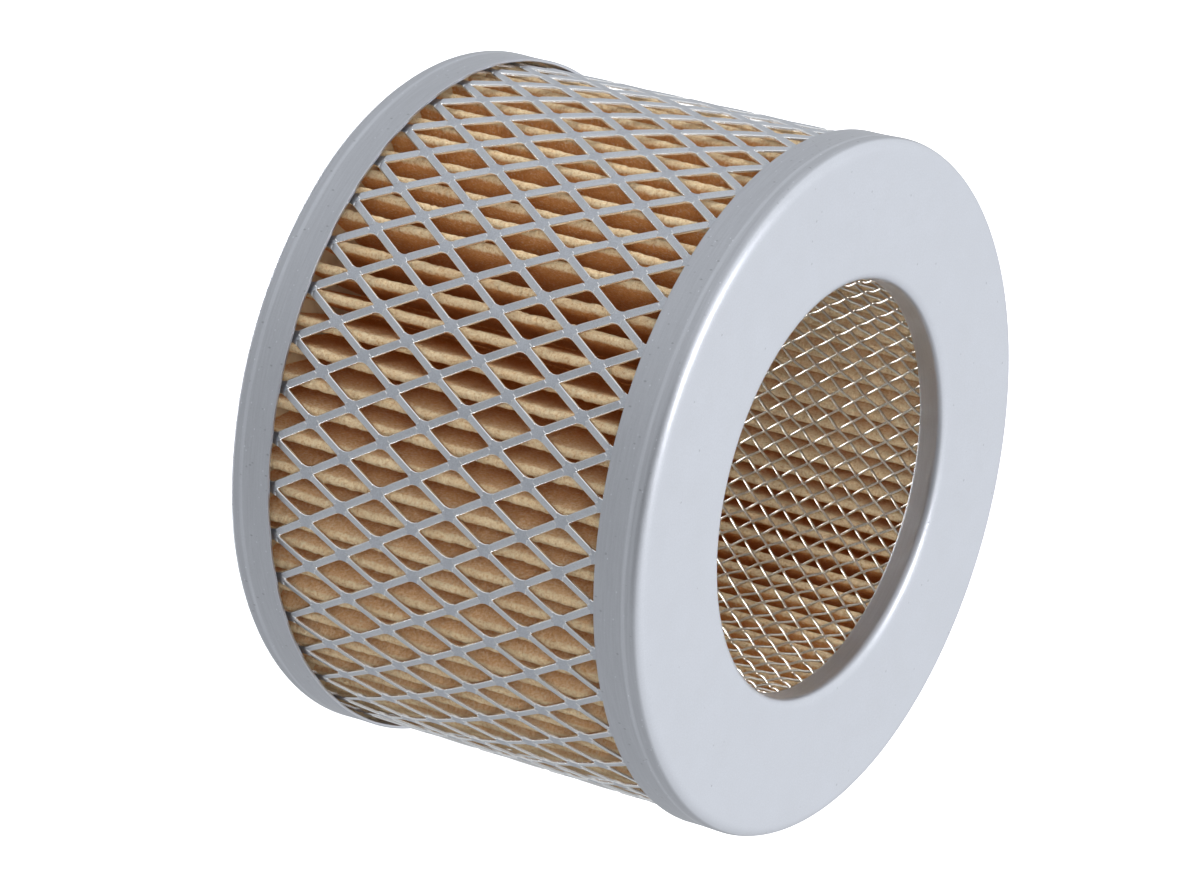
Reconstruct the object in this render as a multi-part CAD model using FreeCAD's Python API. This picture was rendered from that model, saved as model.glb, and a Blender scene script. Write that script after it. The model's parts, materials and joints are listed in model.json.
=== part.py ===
"""Round filter cartridge: a pleated paper ring between two pressed sheet-metal end caps.

The cartridge stands on its rear end cap. +Z is its axis and the origin is the centre of its
bottom face. Every piece is a separate solid, written to its own STEP file. Units are millimetres.
"""
import FreeCAD, Part
import cmath
import math
import os
from FreeCAD import Vector

# Overall size
CARTRIDGE_HEIGHT = 70.0
CAP_OUTER_RADIUS = 51.0
BORE_RADIUS = 30.5

# End caps, pressed from one sheet
SHEET_THICKNESS = 0.5
RIM_HEIGHT = 7.5
NECK_DEPTH = 4.2
RIM_BEND_RADIUS = 1.8
NECK_BEND_RADIUS = 1.5

# Outer jacket of expanded metal, diamonds long way along the axis
JACKET_OUTER_RADIUS = 49.93
JACKET_THICKNESS = 0.5
JACKET_END_GAP = 1.4
DIAMONDS_AROUND = 43
DIAMOND_ROW_PITCH = 6.1
FIRST_KNUCKLE_HEIGHT = 7.1
FIRST_KNUCKLE_ANGLE = -91.8
SHEET_SKEW_PER_MM = 0.015
STRAND_WIDTH = 1.18
DIAMOND_SIDE_ROUNDING = 1.7
JACKET_WELD_RADIUS = 0.8
JACKET_WELD_THICKNESS = 0.3

# Pleated paper
PLEAT_COUNT = 74
PAPER_THICKNESS = 0.55
PLEAT_TIP_RADIUS = 48.9
PLEAT_ROOT_RADIUS = 31.95
OUTER_FOLD_RADIUS = 0.75
INNER_FOLD_RADIUS = 0.65
PLEAT_LEAN_ANGLE = -5.0
MEDIA_END_GAP = 1.2
PAPER_JOINT_ANGLE = 90.0
PAPER_JOINT_GAP = 0.12

# Crimped strip over the fold where the two ends of the paper meet
CLIP_THICKNESS = 0.25
CLIP_CLEARANCE = 0.03
CLIP_LEG_LENGTH = 3.6
CLIP_END_GAP = 0.2

# Woven wire tube: wires that wind one way pass over and under wires that wind the other way
WIRES_PER_HAND = 64
WIRE_DIAMETER = 0.40
CLOTH_MIDDLE_RADIUS = 31.48
WEAVE_DEPTH = 0.21
WIRE_TURN_PER_MM = 1.356
CROSSINGS_PER_WIRE = 32
CLOTH_BOTTOM = 2.0
WIRE_PHASE_ANGLE = 90.0
CLOTH_SEAM_ANGLE = -90.0
CLOTH_WELD_RADIUS = 0.6
CLOTH_WELD_THICKNESS = 0.25
CLOTH_WELD_COUNT = 8

# Adhesive that fills each cap
POTTING_DEPTH = 3.5
POTTING_INNER_RADIUS = 31.92
POTTING_CHAMFER = 0.3

AXIS = Vector(0, 0, 1)
ORIGIN = Vector(0, 0, 0)


def on_section(radius, height):
    """A point of the half section, in the XZ plane."""
    return Vector(radius, 0, height)


def line(start, end):
    """A straight edge."""
    return Part.LineSegment(start, end).toShape()


def arc(start, middle, end):
    """A circular edge through three points."""
    return Part.Arc(start, middle, end).toShape()


def section_bend(centre_radius, centre_height, bend_radius, start_angle, end_angle):
    """A bend of the half section, from one angle to another about its centre, in degrees."""
    middle_angle = (start_angle + end_angle) / 2
    points = []
    for angle in (start_angle, middle_angle, end_angle):
        turn = math.radians(angle)
        radius = centre_radius + bend_radius * math.cos(turn)
        height = centre_height + bend_radius * math.sin(turn)
        points.append(on_section(radius, height))
    return arc(*points)


def revolve(edges):
    """The solid that a closed half section makes about the axis."""
    face = Part.Face(Part.Wire(edges))
    return face.revolve(ORIGIN, AXIS, 360)


def tube(inner_radius, outer_radius, bottom, top):
    """A plain tube about the axis."""
    corners = [
        on_section(inner_radius, bottom),
        on_section(outer_radius, bottom),
        on_section(outer_radius, top),
        on_section(inner_radius, top),
    ]
    return revolve(Part.makePolygon(corners + corners[:1]).Edges)


def turned(shape, angle):
    """A copy of a shape, turned about the axis by an angle in degrees."""
    copy = shape.copy()
    copy.rotate(ORIGIN, AXIS, angle)
    return copy


def at_other_end(shape):
    """The mirror image of a shape, at the other end of the cartridge."""
    return shape.mirror(Vector(0, 0, CARTRIDGE_HEIGHT / 2), AXIS)


def end_cap():
    """Front cap: outer rim, bend, flat ring face, bend into the bore, and neck."""
    face = CARTRIDGE_HEIGHT
    back = face - SHEET_THICKNESS
    rim_end = face - RIM_HEIGHT
    neck_end = face - NECK_DEPTH
    rim_inside = CAP_OUTER_RADIUS - SHEET_THICKNESS
    neck_outside = BORE_RADIUS + SHEET_THICKNESS
    rim_bend_at = CAP_OUTER_RADIUS - RIM_BEND_RADIUS
    neck_bend_at = BORE_RADIUS + NECK_BEND_RADIUS
    rim_bend_height = face - RIM_BEND_RADIUS
    neck_bend_height = face - NECK_BEND_RADIUS
    edges = [
        line(on_section(CAP_OUTER_RADIUS, rim_end), on_section(CAP_OUTER_RADIUS, rim_bend_height)),
        section_bend(rim_bend_at, rim_bend_height, RIM_BEND_RADIUS, 0, 90),
        line(on_section(rim_bend_at, face), on_section(neck_bend_at, face)),
        section_bend(neck_bend_at, neck_bend_height, NECK_BEND_RADIUS, 90, 180),
        line(on_section(BORE_RADIUS, neck_bend_height), on_section(BORE_RADIUS, neck_end)),
        line(on_section(BORE_RADIUS, neck_end), on_section(neck_outside, neck_end)),
        line(on_section(neck_outside, neck_end), on_section(neck_outside, neck_bend_height)),
        section_bend(neck_bend_at, neck_bend_height, NECK_BEND_RADIUS - SHEET_THICKNESS, 180, 90),
        line(on_section(neck_bend_at, back), on_section(rim_bend_at, back)),
        section_bend(rim_bend_at, rim_bend_height, RIM_BEND_RADIUS - SHEET_THICKNESS, 90, 0),
        line(on_section(rim_inside, rim_bend_height), on_section(rim_inside, rim_end)),
        line(on_section(rim_inside, rim_end), on_section(CAP_OUTER_RADIUS, rim_end)),
    ]
    return revolve(edges)


def diamond_cutter():
    """One diamond opening as a prism through the jacket wall, centred on the +X axis."""
    mean_radius = JACKET_OUTER_RADIUS - JACKET_THICKNESS / 2
    cell_half_width = math.pi * mean_radius / DIAMONDS_AROUND
    strand_slope = math.atan2(cell_half_width, DIAMOND_ROW_PITCH)
    half_width = cell_half_width - STRAND_WIDTH / 2 / math.cos(strand_slope)
    half_length = DIAMOND_ROW_PITCH - STRAND_WIDTH / 2 / math.sin(strand_slope)
    half_corner = math.atan2(half_length, half_width)
    tangent = DIAMOND_SIDE_ROUNDING / math.tan(half_corner)
    side_cut = DIAMOND_SIDE_ROUNDING * (1 / math.sin(half_corner) - 1)
    bend_width = half_width - tangent * math.cos(half_corner)
    bend_length = tangent * math.sin(half_corner)
    cutter_base = JACKET_OUTER_RADIUS - 3 * JACKET_THICKNESS

    def on_wall(width, length):
        return Vector(cutter_base, width, length)

    edges = []
    for side in (1, -1):
        tip = on_wall(0, side * half_length)
        bend_start = on_wall(side * bend_width, side * bend_length)
        bend_middle = on_wall(side * (half_width - side_cut), 0)
        bend_end = on_wall(side * bend_width, -side * bend_length)
        edges.append(line(tip, bend_start))
        edges.append(arc(bend_start, bend_middle, bend_end))
        edges.append(line(bend_end, on_wall(0, -side * half_length)))
    opening = Part.Face(Part.Wire(edges))
    return opening.extrude(Vector(4 * JACKET_THICKNESS, 0, 0))


def row_angle(row):
    """Angle of the first knuckle of a row: rows alternate by half a diamond, and the sheet is skewed."""
    height = row * DIAMOND_ROW_PITCH
    stagger = (row % 2) * 180 / DIAMONDS_AROUND
    return FIRST_KNUCKLE_ANGLE + stagger + SHEET_SKEW_PER_MM * height


def outer_jacket():
    """Expanded-metal tube: a thin tube with staggered rows of diamond openings."""
    inner_radius = JACKET_OUTER_RADIUS - JACKET_THICKNESS
    blank = tube(inner_radius, JACKET_OUTER_RADIUS, JACKET_END_GAP, CARTRIDGE_HEIGHT - JACKET_END_GAP)
    cutter = diamond_cutter()
    rows_above = math.ceil((CARTRIDGE_HEIGHT - FIRST_KNUCKLE_HEIGHT) / DIAMOND_ROW_PITCH)
    pitch = 360 / DIAMONDS_AROUND
    cutters = []
    for row in range(-1, rows_above):
        height = FIRST_KNUCKLE_HEIGHT + row * DIAMOND_ROW_PITCH
        for column in range(DIAMONDS_AROUND):
            opening = turned(cutter, row_angle(row) + (column + 0.5) * pitch)
            opening.translate(Vector(0, 0, height))
            cutters.append(opening)
    return blank.cut(Part.makeCompound(cutters))


def radial_disc(radius, thickness, inner_distance, angle, height):
    """A small flat disc whose axis is radial, at a distance from the cartridge's axis."""
    disc = Part.makeCylinder(radius, thickness, Vector(inner_distance, 0, height), Vector(1, 0, 0))
    return turned(disc, angle)


def jacket_welds():
    """Spot welds on the knuckles of one column, at the back of the jacket."""
    pitch = 360 / DIAMONDS_AROUND
    column = DIAMONDS_AROUND // 2
    base = JACKET_OUTER_RADIUS
    welds = []
    for row in (1, 3, 5, 7):
        height = FIRST_KNUCKLE_HEIGHT + row * DIAMOND_ROW_PITCH
        angle = row_angle(row) + column * pitch
        welds.append(radial_disc(JACKET_WELD_RADIUS, JACKET_WELD_THICKNESS, base, angle, height))
    return Part.makeCompound(welds)


def turn_between(start, end, direction):
    """Angle from one direction to another, in radians, going round one way: 1 or -1."""
    return direction * (cmath.phase(end / start) * direction % (2 * math.pi))


def flank_normal(start, end, fold_radii, side):
    """Normal of the straight flank between two folds, on one side of the way between their centres."""
    way = end - start
    return way / abs(way) * cmath.exp(1j * side * math.acos(fold_radii / abs(way)))


def pleat_folds():
    """Centres of an outer fold on the +X axis, of the inner fold after it, and of the next outer fold."""
    pitch = 2 * math.pi / PLEAT_COUNT
    lean = math.radians(PLEAT_LEAN_ANGLE)
    tip = complex(PLEAT_TIP_RADIUS - OUTER_FOLD_RADIUS, 0)
    root = (PLEAT_ROOT_RADIUS + INNER_FOLD_RADIUS) * cmath.exp(1j * (pitch / 2 + lean))
    return tip, root, tip * cmath.exp(1j * pitch)


def pleat_normals(fold_radii):
    """Normals of the flanks before and after an outer fold on the +X axis."""
    tip, root, next_tip = pleat_folds()
    going_in = flank_normal(tip, root, fold_radii, -1)
    going_out = flank_normal(next_tip, root, fold_radii, 1)
    return going_out * tip / next_tip, going_in


def on_plan(point):
    """A point of the plan as a vector."""
    return Vector(point.real, point.imag, 0)


def plan_arc(centre, radius, start, end, direction):
    """Three points of an arc, from one direction to another."""
    middle = start * cmath.exp(0.5j * turn_between(start, end, direction))
    return [centre + radius * way for way in (start, middle, end)]


def pleat_face_loop(tip_fold, root_fold):
    """Closed outline of one face of the paper, for the fold radii of that face."""
    tip, root, next_tip = pleat_folds()
    before, after = pleat_normals(tip_fold + root_fold)
    next_before = before * next_tip / tip
    outer_arc = plan_arc(tip, tip_fold, before, after, 1)
    inner_arc = plan_arc(root, root_fold, -after, -next_before, -1)
    last_point = next_tip + tip_fold * next_before
    edges = []
    for pleat in range(PLEAT_COUNT):
        turn = cmath.exp(1j * (math.radians(PAPER_JOINT_ANGLE) + 2 * math.pi * pleat / PLEAT_COUNT))
        outer = [on_plan(point * turn) for point in outer_arc]
        inner = [on_plan(point * turn) for point in inner_arc]
        edges.append(arc(*outer))
        edges.append(line(outer[2], inner[0]))
        edges.append(arc(*inner))
        edges.append(line(inner[2], on_plan(last_point * turn)))
    return Part.Wire(edges)


def pleat_pack():
    """The paper ring, folded into pleats along the axis and open at its joint."""
    outside = pleat_face_loop(OUTER_FOLD_RADIUS, INNER_FOLD_RADIUS - PAPER_THICKNESS)
    inside = pleat_face_loop(OUTER_FOLD_RADIUS - PAPER_THICKNESS, INNER_FOLD_RADIUS)
    section = Part.makeFace([outside, inside], "Part::FaceMakerBullseye")
    height = CARTRIDGE_HEIGHT - 2 * MEDIA_END_GAP
    paper = section.extrude(Vector(0, 0, height))
    paper.translate(Vector(0, 0, MEDIA_END_GAP))
    slit_depth = 2 * OUTER_FOLD_RADIUS
    corner = Vector(PLEAT_TIP_RADIUS - OUTER_FOLD_RADIUS, -PAPER_JOINT_GAP / 2, 0)
    slit = Part.makeBox(slit_depth, PAPER_JOINT_GAP, CARTRIDGE_HEIGHT, corner)
    return paper.cut(turned(slit, PAPER_JOINT_ANGLE))


def clip_side(distance):
    """One face of the clip in plan: a leg along a flank, the bend round the fold, and the other leg."""
    tip = pleat_folds()[0]
    before, after = pleat_normals(OUTER_FOLD_RADIUS + INNER_FOLD_RADIUS - PAPER_THICKNESS)
    bend = plan_arc(tip, distance, before, after, 1)
    first_end = bend[0] - 1j * before * CLIP_LEG_LENGTH
    last_end = bend[2] + 1j * after * CLIP_LEG_LENGTH
    return [on_plan(point) for point in (first_end, *bend, last_end)]


def seam_clip():
    """A strip bent over the fold where the two ends of the paper meet, with its legs along the flanks."""
    inside = clip_side(OUTER_FOLD_RADIUS + CLIP_CLEARANCE)
    outside = clip_side(OUTER_FOLD_RADIUS + CLIP_CLEARANCE + CLIP_THICKNESS)
    edges = [
        line(inside[0], inside[1]),
        arc(*inside[1:4]),
        line(inside[3], inside[4]),
        line(inside[4], outside[4]),
        line(outside[4], outside[3]),
        arc(outside[3], outside[2], outside[1]),
        line(outside[1], outside[0]),
        line(outside[0], inside[0]),
    ]
    bottom = SHEET_THICKNESS + POTTING_DEPTH + CLIP_END_GAP
    clip = Part.Face(Part.Wire(edges)).extrude(Vector(0, 0, CARTRIDGE_HEIGHT - 2 * bottom))
    clip.translate(Vector(0, 0, bottom))
    return turned(clip, PAPER_JOINT_ANGLE)


def woven_wires(hand, first):
    """Every second wire that winds one way, 1 or -1: each is straight from one crossing to the next."""
    pitch = 360 / WIRES_PER_HAND
    crossing_height = pitch / (2 * WIRE_TURN_PER_MM)
    points = []
    for crossing in range(CROSSINGS_PER_WIRE + 1):
        climb = crossing * crossing_height
        radius = CLOTH_MIDDLE_RADIUS + hand * (-1) ** crossing * WEAVE_DEPTH
        angle = math.radians(WIRE_PHASE_ANGLE + hand * WIRE_TURN_PER_MM * climb)
        height = CLOTH_BOTTOM + climb
        points.append(Vector(radius * math.cos(angle), radius * math.sin(angle), height))
    path = Part.makePolygon(points)
    circle = Part.makeCircle(WIRE_DIAMETER / 2, points[0], points[1] - points[0])
    right_corners = 1
    wire = path.makePipeShell([Part.Wire([circle])], True, False, right_corners)
    numbers = range(first, WIRES_PER_HAND, 2)
    return Part.makeCompound([turned(wire, number * pitch) for number in numbers])


def cloth_welds():
    """Spot welds in a row along the wire tube, where the rolled cloth meets itself."""
    base = CLOTH_MIDDLE_RADIUS - WEAVE_DEPTH - WIRE_DIAMETER / 2 - CLOTH_WELD_THICKNESS
    lowest = NECK_DEPTH + 4 * CLOTH_WELD_RADIUS
    step = (CARTRIDGE_HEIGHT - 2 * lowest) / (CLOTH_WELD_COUNT - 1)
    welds = []
    for number in range(CLOTH_WELD_COUNT):
        height = lowest + number * step
        welds.append(radial_disc(CLOTH_WELD_RADIUS, CLOTH_WELD_THICKNESS, base, CLOTH_SEAM_ANGLE, height))
    return Part.makeCompound(welds)


def potting_ring(paper):
    """Adhesive in the front cap: it follows the cap's inside, and paper and jacket stand in it."""
    top = CARTRIDGE_HEIGHT - SHEET_THICKNESS
    bottom = top - POTTING_DEPTH
    outer_radius = CAP_OUTER_RADIUS - SHEET_THICKNESS
    bend_at = CAP_OUTER_RADIUS - RIM_BEND_RADIUS
    bend_height = CARTRIDGE_HEIGHT - RIM_BEND_RADIUS
    chamfer_start = on_section(POTTING_INNER_RADIUS + POTTING_CHAMFER, top)
    chamfer_end = on_section(POTTING_INNER_RADIUS, top - POTTING_CHAMFER)
    inner_bottom = on_section(POTTING_INNER_RADIUS, bottom)
    edges = [
        line(inner_bottom, on_section(outer_radius, bottom)),
        line(on_section(outer_radius, bottom), on_section(outer_radius, bend_height)),
        section_bend(bend_at, bend_height, RIM_BEND_RADIUS - SHEET_THICKNESS, 0, 90),
        line(on_section(bend_at, top), chamfer_start),
        line(chamfer_start, chamfer_end),
        line(chamfer_end, inner_bottom),
    ]
    jacket_inside = JACKET_OUTER_RADIUS - JACKET_THICKNESS
    jacket_slot = tube(jacket_inside, JACKET_OUTER_RADIUS, 0, CARTRIDGE_HEIGHT - JACKET_END_GAP)
    return revolve(edges).cut(jacket_slot).cut(paper)


def build_pieces():
    """Every piece of the cartridge, by the name of its node."""
    front_cap = end_cap()
    paper = pleat_pack()
    front_potting = potting_ring(paper)
    return {
        "front_end_cap": front_cap,
        "rear_end_cap": at_other_end(front_cap),
        "outer_mesh_jacket": outer_jacket(),
        "jacket_seam_welds": jacket_welds(),
        "pleated_media": paper,
        "media_seam_clip": seam_clip(),
        "inner_mesh_right_hand_wires_even": woven_wires(1, 0),
        "inner_mesh_right_hand_wires_odd": woven_wires(1, 1),
        "inner_mesh_left_hand_wires_even": woven_wires(-1, 0),
        "inner_mesh_left_hand_wires_odd": woven_wires(-1, 1),
        "inner_mesh_seam_welds": cloth_welds(),
        "front_potting": front_potting,
        "rear_potting": at_other_end(front_potting),
    }


def write_pieces():
    """Write one STEP file per piece."""
    os.makedirs("parts", exist_ok=True)
    for node, shape in build_pieces().items():
        shape.exportStep(f"parts/{node}.step")
        print(node, "solids", len(shape.Solids), "valid", shape.isValid(), "volume", round(shape.Volume, 1))


write_pieces()
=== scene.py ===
"""Looks of a round filter cartridge: pleated paper between two pressed sheet-metal end caps.

Shapes are worked out in millimetres and in cylinder coordinates about the cartridge's axis, +Z,
and turned into metres when a mesh is made. Angles are in radians.
"""
import json
import math

import bmesh
import bpy
import numpy as np
from mathutils import Matrix, Vector


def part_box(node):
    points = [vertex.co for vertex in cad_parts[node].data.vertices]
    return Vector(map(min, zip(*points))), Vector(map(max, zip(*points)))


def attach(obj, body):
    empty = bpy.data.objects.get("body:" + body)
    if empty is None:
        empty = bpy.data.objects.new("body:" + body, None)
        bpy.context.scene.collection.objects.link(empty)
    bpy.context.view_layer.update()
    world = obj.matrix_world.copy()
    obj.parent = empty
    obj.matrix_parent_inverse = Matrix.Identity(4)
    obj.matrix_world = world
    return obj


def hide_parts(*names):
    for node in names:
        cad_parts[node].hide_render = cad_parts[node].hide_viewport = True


MM = 0.001
BODY = "root"
FULL_TURN = 2 * math.pi

# End caps
SHEET_THICKNESS = 0.5
NECK_DEPTH = 4.2
RIM_BEND_RADIUS = 1.8
NECK_BEND_RADIUS = 1.5
SHEARED_EDGE_RADIUS = 0.1
CAP_SEGMENTS = 480
RIM_WALL_STEPS = 26
FACE_STEPS = 22
NECK_WALL_STEPS = 5
BEND_STEPS = 14
INSIDE_BEND_STEPS = 6
SHEARED_EDGE_STEPS = 4

# Marks that pressing leaves on the end caps: depths and places in millimetres, except the dish's ends,
# which are shares of the face from bore to rim
MARKED_RIM_THICKNESS = 0.9
MARKED_RIM_ABOVE_BEND = 0.6
GROOVED_SKIN = 0.3
GROOVE_DEPTH = 0.045
GROOVE_BELOW_BEND = 0.1
GROOVE_SPREAD = 0.16
RIM_WAIST = 0.05
RIM_RIPPLE = 0.035
FACE_DISH = 0.025
FACE_DISH_START = 0.08
FACE_DISH_END = 0.9
FACE_DISH_BLEND = 0.2
# A painted reflection on the rim: a lighter band, its distance below the bend in millimetres and its tone.
REFLECTION_BAND_BELOW_BEND = 0.9
PAINTED_REFLECTION_TONE = 1.16
# Tone of the drawn rim and neck: partly their duller finish, partly painted shade for the darker
# surroundings that they reflect.
DRAWN_AND_SHADED_TONE = 0.71

# Expanded-metal jacket: the crease is the part of a strand over which it twists, and it is a share of the
# way between two knuckles, as are the strand's points near its middle and the start of its opening
DIAMONDS_AROUND = 43
DIAMOND_ROW_PITCH = 6.1
FIRST_KNUCKLE_HEIGHT = 7.1
FIRST_KNUCKLE_ANGLE = math.radians(-91.8)
SHEET_SKEW = math.radians(0.015)
JACKET_THICKNESS = 0.5
STRAND_WIDTH = 1.18
STRAND_EDGE_RADIUS = 0.2
STRAND_TILT = 0.1
STRAND_CREASE = (0.12, 0.14)
STRAND_MIDDLE_POINT = 0.32
OPENING_START_SHARE = 0.05
DIAMOND_SIDE_ROUNDING = 1.7
JACKET_WELD_RADIUS = 0.8
JACKET_WELD_HEIGHT = 0.25
JACKET_ROWS = range(-2, 13)
JACKET_SHARP_ANGLE = math.radians(25)
JACKET_WELD_ROWS = (1, 3, 5, 7)

# Pleated paper: waves are (number along the cartridge, share of the whole). Tips and roots, the outer and
# inner folds, are uneven sideways by parts of a pleat's pitch (drift, wander), and sink in or rise by
# millimetres (spread, wander, limit).
PLEAT_COUNT = 74
PAPER_JOINT_ANGLE = math.radians(90)
PAPER_THICKNESS = 0.55
OUTER_FOLD_RADIUS = 0.75
INNER_FOLD_RADIUS = 0.65
PLEAT_LEAN = math.radians(-5.0)
PAPER_LEVELS = 121
FOLD_WAVES = ((0.6, 0.55), (1.4, 0.35), (3.3, 0.2), (7.1, 0.13), (13.0, 0.09), (21.0, 0.06))
TIP_DRIFT, TIP_WANDER = 0.08, 0.05
ROOT_DRIFT, ROOT_WANDER = 0.05, 0.04
TIP_SINK = (0.2, 0.12, 0.6)
ROOT_RISE = (0.15, 0.1, 0.5)
FOLDS_HELD_BY_CLIP = 3
FLANKS_HELD_BY_CLIP = 2
FLANK_BOW = 0.28
OUTER_FOLD_STEPS = 7
INNER_FOLD_STEPS = 4
CREASE_SIZE = 0.05
# Strength of painted light that the paper's flanks give off, standing in for light passing through the
# paper.
LIGHT_THROUGH_PAPER = 0.035

# Woven wire tube
WIRES_PER_HAND = 64
WIRE_DIAMETER = 0.40
CLOTH_BOTTOM = 2.0
CROSSINGS_PER_WIRE = 32
WIRE_TURN_PER_MM = math.radians(1.356)
WIRE_PHASE = math.radians(90)
WEAVE_DEPTH = 0.21
WIRE_WANDER = 0.015
WIRE_SIDES = 7
STEPS_PER_CROSSING = 4
CLOTH_SEAM_ANGLE = math.radians(-90)
CLOTH_WELD_RADIUS = 0.6
CLOTH_WELD_HEIGHT = 0.2
CLOTH_WELD_COUNT = 8

# Spot welds: half section of a nugget, from its edge to its dimple, as shares of its radius and height
WELD_REACH = (1.0, 0.97, 0.88, 0.74, 0.58, 0.4, 0.2, 0.05)
WELD_RISE = (0.0, 0.45, 0.85, 1.0, 0.8, 0.55, 0.48, 0.46)
WELD_SEGMENTS = 36
WELD_SINK = 0.02

# Potting adhesive
POTTING_SEGMENTS = 240
POTTING_SURFACE_STEPS = 16
POTTING_CORNER_STEPS = 6
POTTING_CHAMFER = 0.3
POTTING_SWELL = 0.06
POTTING_SHARP_ANGLE = math.radians(50)
CLOTH_TO_POTTING = 0.03
CLOTH_TO_PLEATS = 0.06

# Camera, floor and what the lights aim at
CARTRIDGE_MIDDLE = (0, 0, 0.035)
CAMERA_POSITION = Vector((0.0, -613.7, 394.3)) * MM
CAMERA_AIM = Vector((1.7, 0.0, 30.1)) * MM
CAMERA_ROLL = math.radians(104.9)
CAMERA_LENS = 146.4
CAMERA_SENSOR_WIDTH = 36
FLOOR_SIZE = 5.0

# Part of a speck's radius at which it reaches its full strength
SPECK_CORE = 0.4

# Studio light: the world's range of strength, its darker share where the camera stands, and its colour
WORLD_RANGE = (0.6, 0.9)
WORLD_POCKET = 0.45
WORLD_COLOUR = (0.955, 0.975, 1.0, 1.0)

# Softboxes: name, position and size in metres, power in watts, and whether metal shows them
SOFTBOXES = (
    ("key", (-0.95, -0.3, 0.35), 0.4, 4.8, False),
    ("overhead", (-0.35, -0.25, 1.0), 0.3, 2.0, True),
    ("under_the_bore", (0, 0, -0.1), 0.09, 0.25, True),
    ("front_fill", (0.0, -0.85, 0.5), 0.5, 4.5, False),
)


# ---------------------------------------------------------------- frame

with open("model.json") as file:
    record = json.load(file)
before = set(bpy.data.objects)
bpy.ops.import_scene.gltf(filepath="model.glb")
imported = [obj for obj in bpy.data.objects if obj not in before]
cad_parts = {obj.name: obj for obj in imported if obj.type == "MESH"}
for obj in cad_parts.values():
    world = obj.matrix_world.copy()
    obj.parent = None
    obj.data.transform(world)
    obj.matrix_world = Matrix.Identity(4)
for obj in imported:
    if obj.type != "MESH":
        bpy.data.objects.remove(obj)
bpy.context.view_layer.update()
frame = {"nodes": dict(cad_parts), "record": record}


def node_size(node):
    """Outer radius, lowest level and highest level of a CAD node, in millimetres."""
    low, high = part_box(node)
    return max(high.x, high.y, -low.x, -low.y) / MM, low.z / MM, high.z / MM


CAP_RADIUS, RIM_END, FRONT_FACE = node_size("front_end_cap")
JACKET_RADIUS, JACKET_BOTTOM, JACKET_TOP = node_size("outer_mesh_jacket")
PLEAT_TIP_RADIUS, PAPER_BOTTOM, PAPER_TOP = node_size("pleated_media")
POTTING_RADIUS, POTTING_SURFACE, POTTING_TOP = node_size("front_potting")
CLOTH_RADIUS = node_size("inner_mesh_left_hand_wires_even")[0]
BORE_RADIUS = frame["record"]["mounts"][0]["dims"]["r_mm"]
CLOTH_MIDDLE_RADIUS = CLOTH_RADIUS - WIRE_DIAMETER / 2 - WEAVE_DEPTH
PLEAT_ROOT_RADIUS = CLOTH_RADIUS + CLOTH_TO_PLEATS


# ---------------------------------------------------------------- mesh tools


def cylinder_points(radius, angle, height):
    """Points in metres from cylinder coordinates, which may be arrays."""
    radius, angle, height = np.broadcast_arrays(radius, angle, height)
    points = np.stack([radius * np.cos(angle), radius * np.sin(angle), height], axis=-1)
    return points.reshape(-1, 3) * MM


def grid_faces(rows, columns, close_rows=False, close_columns=False):
    """Quads of a grid of points stored row by row; a closed direction joins its end to its start."""
    row = np.arange(rows if close_rows else rows - 1)[:, None]
    column = np.arange(columns if close_columns else columns - 1)[None, :]
    next_row = (row + 1) % rows
    next_column = (column + 1) % columns
    corners = [
        row * columns + column,
        row * columns + next_column,
        next_row * columns + next_column,
        next_row * columns + column,
    ]
    return np.stack(np.broadcast_arrays(*corners), axis=-1).reshape(-1, 4)


def new_piece(name, points, faces, material, node, sharp_angle=None):
    """A mesh piece that rides on the cartridge in place of a CAD node, which it hides, with the given
    material.
    """
    mesh = bpy.data.meshes.new(name)
    mesh.from_pydata(points.tolist(), [], faces.tolist())
    mesh.materials.append(material)
    shape = bmesh.new()
    shape.from_mesh(mesh)
    bmesh.ops.remove_doubles(shape, verts=shape.verts, dist=0.001 * MM)
    bmesh.ops.recalc_face_normals(shape, faces=shape.faces)
    shape.to_mesh(mesh)
    shape.free()
    mesh.shade_smooth()
    if sharp_angle is not None:
        mesh.set_sharp_from_angle(angle=sharp_angle)
    piece = bpy.data.objects.new(name, mesh)
    bpy.context.scene.collection.objects.link(piece)
    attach(piece, BODY)
    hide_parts(node)


def closed_wave(random, count, waves):
    """A smooth random closed curve at `count` equal steps round the axis, of about unit spread."""
    turn = np.arange(count) / count * FULL_TURN
    total = np.zeros(count)
    for wave in range(1, waves + 1):
        total += random.normal() * np.cos(wave * turn + random.uniform(0, FULL_TURN))
    return np.clip(total / math.sqrt(waves / 2), -2, 2)


def mirrored_to_rear(points):
    """The front cap's points at the rear end of the cartridge."""
    return points * (1, 1, -1) + (0, 0, FRONT_FACE * MM)


# ---------------------------------------------------------------- end caps


def arc_points(centre, radius, start, end, steps):
    """Points (radius, height) along an arc of the half section, with angles in quarter turns."""
    angles = np.linspace(start, end, steps) * math.pi / 2
    return [(centre[0] + radius * math.cos(a), centre[1] + radius * math.sin(a)) for a in angles]


def line_points(start, end, steps):
    """Points between two points of the half section, without the two."""
    shares = np.linspace(0, 1, steps + 2)[1:-1, None]
    return list(np.array(start) * (1 - shares) + np.array(end) * shares)


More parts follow.
